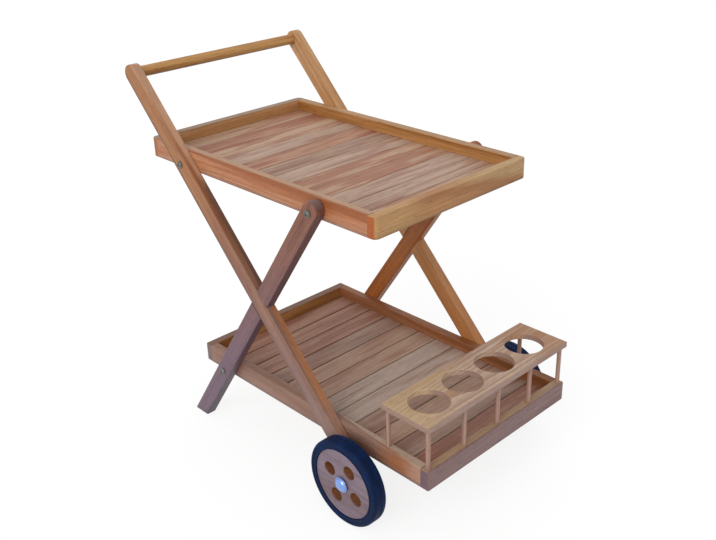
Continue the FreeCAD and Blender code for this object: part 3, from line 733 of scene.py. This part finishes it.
# Slats: no two boards alike, from pale sapwood to red heartwood
PALE_SLAT = Wood(
    "pale_eucalyptus", early="#be9c83", late="#ad896f", heart="#a27359", end="#a0765c", weathering_and_shade=0.25,
    heart_level=0.55, heart_edge=0.07, heart_length_mm=260.0, heart_width_mm=22.0)
RED_SLAT = replace(
    PALE_SLAT, name="red_eucalyptus", early="#b68c71", late="#a5755b", heart="#985f45", heart_level=0.49)
MIXED_SLAT = replace(
    PALE_SLAT, name="mixed_eucalyptus", early="#bd9a80", heart="#9f6a50", heart_level=0.52)
GREY_SLAT = replace(
    PALE_SLAT, name="grey_eucalyptus", early="#ba9d8a", late="#aa8b77", heart="#9d735e", heart_level=0.57)
DULL_SLAT = replace(
    PALE_SLAT, name="dull_eucalyptus", early="#ae8f7b", late="#9e7e69", heart="#916751")
ASH_SLAT = replace(
    PALE_SLAT, name="ashy_eucalyptus", early="#c3afa0", late="#b29b8b", heart="#a6826e", heart_level=0.58)

# Rails of the lower tray: mauve near the floor, partly weathering and partly painted bluish shade
MAUVE_RAIL = Wood(
    "weathered_eucalyptus", early="#8b6c6a", late="#7d5e5c", heart="#75534f", end="#6d545a",
    weathered_and_shaded="#7d6866", weathering_and_shade=0.2,
    # Paler top face: partly pale wood along the edge, partly painted highlight
    zones=(Zone("#ac8c6a", (-0.707, 0.0, 0.707), start_mm=-187.0, blend_mm=1.5, wave_mm=5.0),))
TAN_RAIL = Wood(
    "tan_eucalyptus", early="#a27b67", late="#936c59", heart="#8b5e42", end="#8c5c40",
    weathered_and_shaded="#816e6c", weathering_and_shade=0.25,
    zones=(
        Zone("#a36234", FORWARD, start_mm=340.0, blend_mm=50.0, wave_mm=60.0, share=0.68),
        Zone("#b08a72", FORWARD, start_mm=410.0, blend_mm=22.0, wave_mm=30.0, share=0.7),
        # Top face painted lighter towards the front as highlight, where the legs and upper tray shade it less
        Zone("#b29a87", (0.06, 0.7, 0.7), start_mm=1.0, blend_mm=2.0, wave_mm=3.0),
        # Painted shade along the lower edge
        Zone("#745e58", DOWNWARD, start_mm=-162.5, blend_mm=5.0, wave_mm=3.0, share=0.75),
    ))

# Legs: outer faces weathered and painted with bluish shade, inner faces painted warm as shade and bounce
# light, lit front faces painted orange, and edges painted darker as shade
LONG_LEG = Wood(
    "long_leg_eucalyptus", early="#ae7648", late="#9b663f", heart="#8a5334", end="#7c5c52",
    weathered_and_shaded="#806769", weathering_and_shade=0.88,
    zones=(
        # Front face painted orange as the lit face
        Zone("#aa7149", (0.758, 0.0, 0.652), start_mm=284.0, blend_mm=5.0, wave_mm=10.0, share=0.7),
        Zone("#c39a7c", (0.488, 0.707, 0.512), start_mm=57.0, blend_mm=3.0, wave_mm=2.0, share=0.6),
        # Painted shade along the outer front edge
        Zone("#6b4d42", (0.527, -0.707, 0.472), start_mm=381.0, blend_mm=4.0, wave_mm=2.0, share=0.45),
        # Painted shade along the lower rear edge, against the floor's bounce light
        Zone("#5f4c46", (-0.728, 0.0, -0.686), start_mm=-259.0, blend_mm=4.0, wave_mm=2.0, share=0.6),
        # Inner face painted warm as shade and bounce light
        Zone("#a5693c", (0.03, 1.0, 0.0), start_mm=-248.2, blend_mm=2.0, wave_mm=0.0,
             heights_mm=(0.0, 440.0)),
        # Inner face painted darker as shade under the upper tray
        Zone("#553c33", LEFTWARD, start_mm=-248.0, blend_mm=5.0, wave_mm=0.0, share=0.75,
             heights_mm=(430.0, 660.0)),
        Zone("#8f7164", DOWNWARD, start_mm=-232.0, blend_mm=28.0, wave_mm=10.0, share=0.6),
    ))
SHORT_LEG = Wood(
    "short_leg_eucalyptus", early="#8b5a44", late="#7c4d3c", heart="#6e3f31", end="#6a4a44",
    weathered_and_shaded="#6b586b", weathering_and_shade=0.85,
    zones=(
        # Front face painted darker as shade
        Zone("#4f4250", (0.825, 0.0, -0.566), start_mm=-233.5, blend_mm=1.5, wave_mm=0.0, share=0.45),
        # Painted shade along the inner front edge
        Zone("#3f3a4a", (0.495, 0.707, -0.505), start_mm=-331.0, blend_mm=4.0, wave_mm=2.0, share=0.55),
        # Inner face painted warm as shade and bounce light
        Zone("#9a5c30", LEFTWARD, start_mm=-239.0, blend_mm=2.0, wave_mm=0.0),
        # Front face at the foot painted darker still as shade
        Zone("#3d3743", (0.825, 0.0, -0.566), start_mm=-233.5, blend_mm=1.5, wave_mm=0.0, share=0.6,
             heights_mm=(-50.0, 120.0)),
    ))
# Far legs: warm copies of the leg wood, painted shade and warm bounce light; the long one turns orange
# towards the floor as painted bounce light
FAR_LONG_LEG = Wood(
    "warm_long_leg_eucalyptus", early="#cfa274", late="#c09263", heart="#b08050", end="#a0653a",
    weathered_and_shaded="#aa672f", weathering_and_shade=0.85,
    zones=(Zone("#98735a", LEFTWARD, start_mm=257.0, blend_mm=2.0, wave_mm=0.0, share=0.75),))
FAR_SHORT_LEG = Wood(
    "warm_short_leg_eucalyptus", early="#b06a2c", late="#a05a22", heart="#8f4c1a", end="#8a4a20",
    zones=(Zone("#84604e", LEFTWARD, start_mm=257.0, blend_mm=2.0, wave_mm=0.0, share=0.75),))

# Handle bar, bottle rack, wheels and dowels
HANDLE = Wood(
    "turned_eucalyptus", early="#c69658", late="#b6844a", heart="#a06c38", end="#a0653a",
    # Underside painted darker as shade
    zones=(Zone("#70503f", DOWNWARD, start_mm=-864.5, blend_mm=3.0, wave_mm=1.0, share=0.6),))
PLANK = Wood(
    "pale_plank_eucalyptus", early="#cbb09c", late="#a07e68", heart="#a47a5c", end="#9c7e70",
    ring_mm=8.0, heart_level=0.58,
    zones=(
        Zone("#c6a87e", (-0.8, -0.6, 0.0), start_mm=-250.0, blend_mm=50.0, wave_mm=30.0, share=0.7),
        Zone("#a87850", LEFTWARD, start_mm=140.0, blend_mm=50.0, wave_mm=40.0, share=0.6),
        Zone("#987c76", FORWARD, start_mm=468.4, blend_mm=0.6, wave_mm=0.0, share=0.65),
    ))
SPINDLE = replace(
    PLANK, name="dowel_eucalyptus", early="#b39080", late="#a17d6d", heart="#977060", zones=())
DISC = Wood("wheel_eucalyptus", early="#857380", late="#786572", heart="#715b62", end="#8a5526")
BEECH = replace(SPINDLE, name="beech_dowel", early="#cda880", late="#bf9870", heart="#b58c62")

# Hardware
ZINC = Metal("zinc_plated_steel", colour="#848580", cloud="#64665f", roughness=0.45)
# Blue tint and darker clouds on the chrome: painted reflection of a blue sky and darker surroundings
CHROME = Metal("chromed_steel", colour="#94b2f0", cloud="#7c98d8", roughness=0.2, cloud_mm=14.0)
BRASS = Metal("turned_brass", colour="#c9a860", cloud="#b08f4a", roughness=0.3)


# Sub-assemblies

@dataclass
class Boards:
    """All the plain wooden pieces, which keep their CAD meshes and get their own wood."""

    nodes: dict[str, bpy.types.Object]
    count: int = 0

    def dress_board(self, node: str, wood: Wood, grain: Grain) -> None:
        """Give one board its wood.

        Args:
            node: CAD node of the board.
            wood: finish of the board.
            grain: way that its fibres run.
        """
        self.count += 1
        dress(self.nodes[node], wood.material(node, grain, self.count))

    def dress_tray(self, level: Level, side_woods: dict[Side, Wood], front: Wood, rear: Wood,
                   slats: list[Wood]) -> None:
        """Give the rails and slats of a tray their woods.

        Args:
            level: which tray.
            side_woods: finish of each side rail.
            front: finish of the front rail.
            rear: finish of the rear rail.
            slats: finishes of the slats, from the rear to the front.
        """
        for side, wood in side_woods.items():
            self.dress_board(f"{level.value}_side_rail_{side.word}", wood, Grain.LENGTHWISE)
        self.dress_board(f"{level.value}_front_rail", front, Grain.CROSSWISE)
        self.dress_board(f"{level.value}_rear_rail", rear, Grain.CROSSWISE)
        for number, wood in enumerate(slats, start=1):
            self.dress_board(f"{level.value}_slat_{number:02d}", wood, Grain.CROSSWISE)

    def dress_legs(self) -> None:
        """Give the legs and the handle bar between them their woods."""
        self.dress_board("long_leg_right", LONG_LEG, Grain.LONG_LEG)
        self.dress_board("short_leg_right", SHORT_LEG, Grain.SHORT_LEG)
        self.dress_board("long_leg_left", FAR_LONG_LEG, Grain.LONG_LEG)
        self.dress_board("short_leg_left", FAR_SHORT_LEG, Grain.SHORT_LEG)
        self.dress_board("handle_bar", HANDLE, Grain.CROSSWISE)

    def dress_rack(self) -> None:
        """Give the bottle plank, its spindles and the hidden dowels their woods."""
        self.dress_board("bottle_plank", PLANK, Grain.CROSSWISE)
        for node in sorted(name for name in self.nodes if name.startswith("rack_spindle_")):
            self.dress_board(node, SPINDLE, Grain.UPRIGHT)
        self.dress_board("corner_dowels", BEECH, Grain.LENGTHWISE)


@dataclass
class Hardware:
    """Bolts, washers and insert nuts, which keep their CAD meshes."""

    nodes: dict[str, bpy.types.Object]
    steel: tuple[str, ...] = ("axle_bolts", "wheel_washers", "leg_bolts", "leg_washers")
    brass: str = "insert_nuts"

    def dress_metal(self) -> None:
        """Give the steel its zinc, and the insert nuts their brass."""
        zinc = ZINC.material()
        for node in self.steel:
            dress(self.nodes[node], zinc)
        dress(self.nodes[self.brass], BRASS.material())


@dataclass
class Wheel:
    """One wheel: a wooden disc, a moulded tyre with a stepped side and a grooved tread, and a plated hub cap.

    A face looks along the axle if its normal's Y is over facing, and lies flat if it is over flat_facing.
    """

    side: Side
    nodes: dict[str, bpy.types.Object]
    segments: int = 96
    facing: float = 0.9
    flat_facing: float = 0.999
    near: float = 0.1 * MM
    seat_gap: float = 0.05 * MM
    shoulder: float = 7.0 * MM
    shoulder_segments: int = 8
    side_border: float = 2.2 * MM
    side_slope: float = 0.5 * MM
    side_step: float = 0.9 * MM
    facet_sag: float = 0.4 * MM
    tread_band: float = 7.6 * MM
    groove_slope: float = 0.6 * MM
    tread_groove: float = 1.0 * MM
    cap_flange: float = 2.2 * MM
    flange_height: float = 1.4 * MM
    dome_steps: int = 7
    dome_end: float = 0.4
    cap_corner_deg: float = 60.0
    cap_rounding: float = 0.35 * MM
    cap_segments: int = 3
    fresh_mm: float = 3.0
    fresh_blend_mm: float = 1.5

    @property
    def body(self) -> str:
        """CAD body of the turning pieces."""
        return f"wheel_{self.side.word}"

    def ring_base(self, node: str, name: str,
                  depth: float | None = None) -> tuple[bpy.types.Object, Vector, float]:
        """Start a round piece from a cylinder in the place of a CAD node, and go into edit mode.

        Args:
            node: CAD node whose box gives the place and the radius.
            name: name of the new piece.
            depth: length along the axle from the inner side, or all of the box.

        Returns:
            The new object, the middle of the cylinder and its radius.
        """
        low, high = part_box(node)
        middle = (low + high) / 2
        radius = (high.z - low.z) / 2
        length = depth or high.y - low.y
        inner = low.y if self.side is Side.LEFT else high.y
        middle.y = inner + self.side.value * length / 2
        bpy.ops.object.select_all(action="DESELECT")
        bpy.ops.mesh.primitive_cylinder_add(vertices=self.segments, radius=radius, depth=length,
                                            location=middle, rotation=(math.pi / 2, 0, 0))
        piece = bpy.context.object
        piece.name = name
        piece.data.name = name
        bpy.ops.object.transform_apply(location=True, rotation=True, scale=True)
        bpy.ops.object.mode_set(mode="EDIT")
        return piece, middle, radius

    def build_tyre(self, rubber: bpy.types.Material) -> None:
        """Model the tyre: hollowed, with rounded shoulders, a step in each side and a groove round the tread.

        Args:
            rubber: finish of the tyre.
        """
        node = f"tyre_{self.side.word}"
        piece, middle, radius = self.ring_base(node, f"moulded_{node}")
        low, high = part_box(f"wheel_disc_{self.side.word}")
        seat = (high.z - low.z) / 2 + self.seat_gap
        rim = radius - self.near

        def distance(point: Vector) -> float:
            """Distance of a point from the axle."""
            return math.hypot(point.x - middle.x, point.z - middle.z)

        def on_rim(edge: bmesh.types.BMEdge) -> bool:
            """Whether an edge runs round the outside of the tyre."""
            first, second = (vertex.co for vertex in edge.verts)
            return min(distance(first), distance(second)) > rim and abs(first.y - second.y) < self.near

        def on_tread(face: bmesh.types.BMFace) -> bool:
            """Whether a face lies in the middle of the tread."""
            centre = face.calc_center_median()
            return distance(centre) > radius - self.facet_sag and abs(centre.y - middle.y) < self.near

        # Hollow for the disc
        select(piece, MeshPart.FACES, lambda face: abs(face.normal.y) > self.facing)
        bpy.ops.mesh.inset(thickness=radius - seat)
        bpy.ops.mesh.delete(type="FACE")
        select(piece, MeshPart.EDGES, lambda edge: edge.is_boundary)
        bpy.ops.mesh.bridge_edge_loops()

        # Rounded shoulders
        select(piece, MeshPart.EDGES, on_rim)
        bpy.ops.mesh.bevel(offset=self.shoulder, segments=self.shoulder_segments, profile=0.5, affect="EDGES")

        # Step in each side
        select(piece, MeshPart.FACES, lambda face: abs(face.normal.y) > self.flat_facing)
        bpy.ops.mesh.inset(thickness=self.side_border)
        bpy.ops.mesh.inset(thickness=self.side_slope, depth=-self.side_step)

        # Groove round the tread
        select(piece, MeshPart.FACES, on_tread)
        bpy.ops.mesh.inset(thickness=self.tread_band)
        bpy.ops.mesh.inset(thickness=self.groove_slope, depth=-self.tread_groove)
        finish_piece(piece, self.body, node, rubber)

    def build_hub_cap(self, chrome: bpy.types.Material) -> None:
        """Model the hub cap: a flange, a step and a dome drawn up in rings.

        Args:
            chrome: finish of the cap.
        """
        node = f"hub_cap_{self.side.word}"
        low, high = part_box(node)
        piece, middle, radius = self.ring_base(node, f"domed_{node}", self.flange_height)
        outwards = self.side.value

        select(piece, MeshPart.FACES, lambda face: face.normal.y * outwards > self.facing)
        bpy.ops.mesh.inset(thickness=self.cap_flange)
        reach = radius - self.cap_flange
        rise = high.y - low.y - self.flange_height
        height = self.flange_height
        width = reach
        for step in range(1, self.dome_steps + 1):
            angle = step / (self.dome_steps + self.dome_end) * math.pi / 2
            level = self.flange_height + rise * math.sin(angle)
            bpy.ops.mesh.extrude_region_move(
                TRANSFORM_OT_translate={"value": (0, outwards * (level - height), 0)})
            factor = reach * math.cos(angle) / width
            bpy.ops.transform.resize(value=(factor, 1, factor), center_override=middle)
            height = level
            width = reach * math.cos(angle)
        bpy.ops.mesh.extrude_region_move(
            TRANSFORM_OT_translate={"value": (0, outwards * (self.flange_height + rise - height), 0)})
        bpy.ops.mesh.merge(type="CENTER")

        corner = math.radians(self.cap_corner_deg)
        select(piece, MeshPart.EDGES, lambda edge: edge.is_manifold and edge.calc_face_angle() > corner)
        bpy.ops.mesh.bevel(offset=self.cap_rounding, segments=self.cap_segments, affect="EDGES")
        finish_piece(piece, "frame", node, chrome)

    def dress_disc(self, boards: Boards, nylon: bpy.types.Material) -> None:
        """Give the disc its wood, which is fresh behind its outer face, and the bush its nylon.

        Args:
            boards: the other boards, so that the disc's wood matches none of them.
            nylon: finish of the bush.
        """
        disc = f"wheel_disc_{self.side.word}"
        low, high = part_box(disc)
        face_mm = max(abs(low.y), abs(high.y)) / MM
        inwards = (0.0, -self.side.value, 0.0)
        fresh = Zone(DISC.end, inwards, self.fresh_mm - face_mm, self.fresh_blend_mm, wave_mm=0.0)
        boards.dress_board(disc, replace(DISC, zones=(fresh,)), Grain.LENGTHWISE)
        dress(self.nodes[f"wheel_bush_{self.side.word}"], nylon)


@dataclass
class Studio:
    """White floor and surroundings, even light, and the camera at the photograph's viewpoint."""

    target: tuple[float, float, float] = (0.0317, 0.0, 0.4297)
    distance: float = 2.1967
    azimuth_deg: float = 46.56
    elevation_deg: float = 25.73
    roll_deg: float = -1.64
    focal_px: float = 925.6
    sensor_mm: float = 36.0
    sky: float = 0.70
    key: float = 1.30
    key_from: tuple[float, float, float] = (0.25, -0.85, 0.55)
    key_angle_deg: float = 40.0
    floor_radius: float = 20.0
    floor_segments: int = 64
    floor_colour: str = "#dedede"
    floor_glow: float = 1.18
    shadow_share: float = 0.3

    def place_camera(self) -> None:
        """Set up the camera that the photograph was taken with."""
        azimuth, elevation, roll = map(math.radians, (self.azimuth_deg, self.elevation_deg, self.roll_deg))
        back = Vector((math.sin(azimuth) * math.cos(elevation), -math.cos(azimuth) * math.cos(elevation),
                       math.sin(elevation)))
        level = Vector((math.cos(azimuth), math.sin(azimuth), 0))
        upward = back.cross(level)
        right = math.cos(roll) * level + math.sin(roll) * upward
        up = math.cos(roll) * upward - math.sin(roll) * level
        camera = bpy.data.cameras.new("camera")
        camera.sensor_fit = "HORIZONTAL"
        camera.sensor_width = self.sensor_mm
        camera.lens = self.focal_px / PHOTO_WIDTH * self.sensor_mm
        eye = bpy.data.objects.new("camera", camera)
        bpy.context.scene.collection.objects.link(eye)
        turned = Matrix((right, up, back)).transposed().to_4x4()
        eye.matrix_world = Matrix.Translation(Vector(self.target) + back * self.distance) @ turned
        bpy.context.scene.camera = eye

    @staticmethod
    def seen(tree: Tree) -> Socket:
        """Tell rays that show the white surroundings from rays that only light the trolley by them.

        Args:
            tree: node tree of the floor or of the world.

        Returns:
            1 for what the camera sees, also in gloss or through a clear piece, and otherwise 0.
        """
        path = add_node(tree, "ShaderNodeLightPath").outputs
        glossy = add_node(tree, "ShaderNodeMath", {0: path["Is Camera Ray"], 1: path["Is Glossy Ray"]},
                          operation="MAXIMUM").outputs[0]
        return add_node(tree, "ShaderNodeMath", {0: glossy, 1: path["Is Transmission Ray"]},
                        operation="MAXIMUM").outputs[0]

    def light(self) -> None:
        """Set an even white surround, which looks pure white itself, and one soft key light."""
        world = bpy.data.worlds.new("studio")
        bpy.context.scene.world = world
        world.use_nodes = True
        tree = world.node_tree
        tree.nodes.clear()
        strength = add_node(tree, "ShaderNodeMapRange", {
            "Value": self.seen(tree), "To Min": self.sky, "To Max": 1.0,
        }).outputs[0]
        surround = add_node(tree, "ShaderNodeBackground", {"Color": linear(WHITE), "Strength": strength})
        add_node(tree, "ShaderNodeOutputWorld", {"Surface": surround.outputs[0]})

        lamp = bpy.data.lights.new("key", "SUN")
        lamp.energy = self.key
        lamp.angle = math.radians(self.key_angle_deg)
        key = bpy.data.objects.new("key", lamp)
        bpy.context.scene.collection.objects.link(key)
        key.rotation_euler = Vector(self.key_from).to_track_quat("Z", "Y").to_euler()

    def lay_floor(self) -> None:
        """Lay a white floor that keeps a soft share of the trolley's shadow."""
        bpy.ops.object.select_all(action="DESELECT")
        bpy.ops.mesh.primitive_circle_add(vertices=self.floor_segments, radius=self.floor_radius,
                                          fill_type="NGON")
        floor = bpy.context.object
        floor.name = "studio_floor"
        material, tree = new_material("studio_paper")
        paper = add_node(tree, "ShaderNodeBsdfDiffuse", {"Color": linear(self.floor_colour)}).outputs[0]
        glow = add_node(tree, "ShaderNodeEmission", {
            "Color": linear(WHITE), "Strength": self.floor_glow,
        }).outputs[0]
        lit = add_node(tree, "ShaderNodeMixShader", {0: self.shadow_share, 1: glow, 2: paper}).outputs[0]
        surface = add_node(tree, "ShaderNodeMixShader", {0: self.seen(tree), 1: paper, 2: lit})
        add_node(tree, "ShaderNodeOutputMaterial", {"Surface": surface.outputs[0]})
        dress(floor, material)


def main() -> None:
    """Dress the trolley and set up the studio."""
    logging.basicConfig(level=logging.INFO, format="%(name)s: %(message)s")
    bpy.context.scene.view_settings.view_transform = "Standard"
    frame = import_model()
    nodes = frame["nodes"]

    boards = Boards(nodes)
    upper_sides = {Side.RIGHT: WARM_RAIL, Side.LEFT: BROWN_RAIL}
    boards.dress_tray(Level.UPPER, upper_sides, front=OLIVE_RAIL, rear=REAR_RAIL, slats=[
        PALE_SLAT, RED_SLAT, PALE_SLAT, GREY_SLAT, RED_SLAT, DULL_SLAT,
        GREY_SLAT, MIXED_SLAT, MIXED_SLAT, GREY_SLAT, GREY_SLAT, PALE_SLAT,
    ])
    lower_sides = {Side.RIGHT: TAN_RAIL, Side.LEFT: SHADED_RAIL}
    boards.dress_tray(Level.LOWER, lower_sides, front=MAUVE_RAIL, rear=LOW_REAR_RAIL, slats=[
        RED_SLAT, RED_SLAT, RED_SLAT, DULL_SLAT, PALE_SLAT, PALE_SLAT,
        ASH_SLAT, ASH_SLAT, DULL_SLAT, PALE_SLAT, DULL_SLAT, RED_SLAT,
    ])
    boards.dress_legs()
    boards.dress_rack()
    Hardware(nodes).dress_metal()

    rubber = Rubber().material()
    chrome = CHROME.material()
    nylon = Nylon().material()
    for side in Side:
        wheel = Wheel(side, nodes)
        wheel.build_tyre(rubber)
        wheel.build_hub_cap(chrome)
        wheel.dress_disc(boards, nylon)

    studio = Studio()
    studio.lay_floor()
    studio.light()
    studio.place_camera()


if __name__ == "__main__":
    main()
